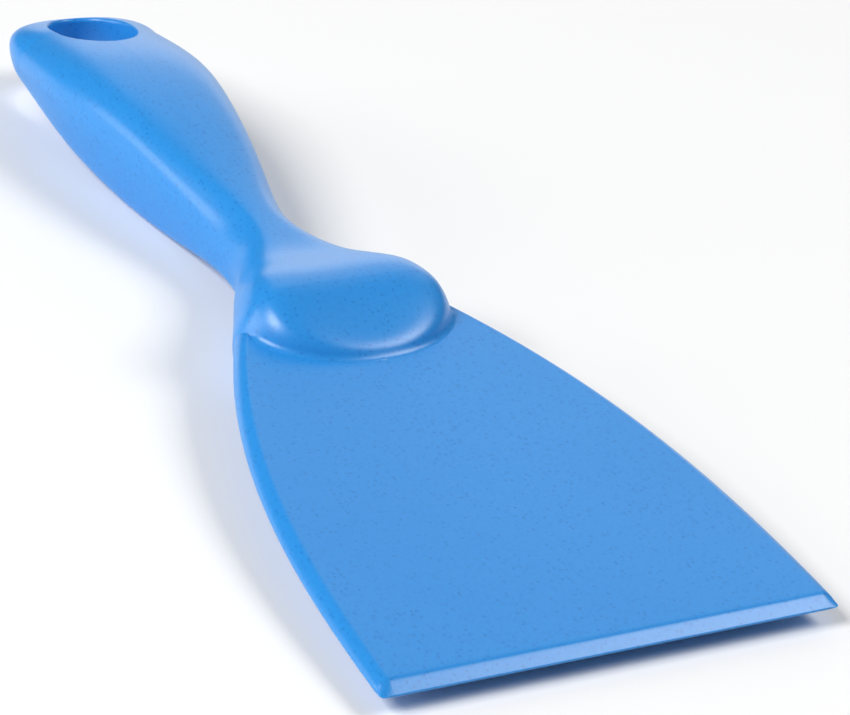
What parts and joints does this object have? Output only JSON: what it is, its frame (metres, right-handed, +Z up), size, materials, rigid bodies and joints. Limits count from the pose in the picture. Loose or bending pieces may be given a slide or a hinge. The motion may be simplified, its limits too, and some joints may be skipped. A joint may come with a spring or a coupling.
{
  "type": "hand scraper",
  "caption": "One-hand plastic scraper: a flared, bevelled flat blade moulded into a collared palm-swell handle with an oval hanging hole.",
  "frame": {"origin": "under the middle of the tool's footprint, at its lowest point", "axes": "+X across the blade, +Y from the scraping edge to the hanging end, +Z up, with the tool lying on a flat surface: on the collar's underside and the grip's belly"},
  "size_m": [0.102, 0.2676, 0.027],
  "materials": {
    "blade": "satin moulded plastic with fine darker specks",
    "handle": "satin moulded plastic with fine darker specks"
  },
  "bodies": {
    "root": {"blade": "blade", "handle": "handle"}
  },
  "joints": []
}
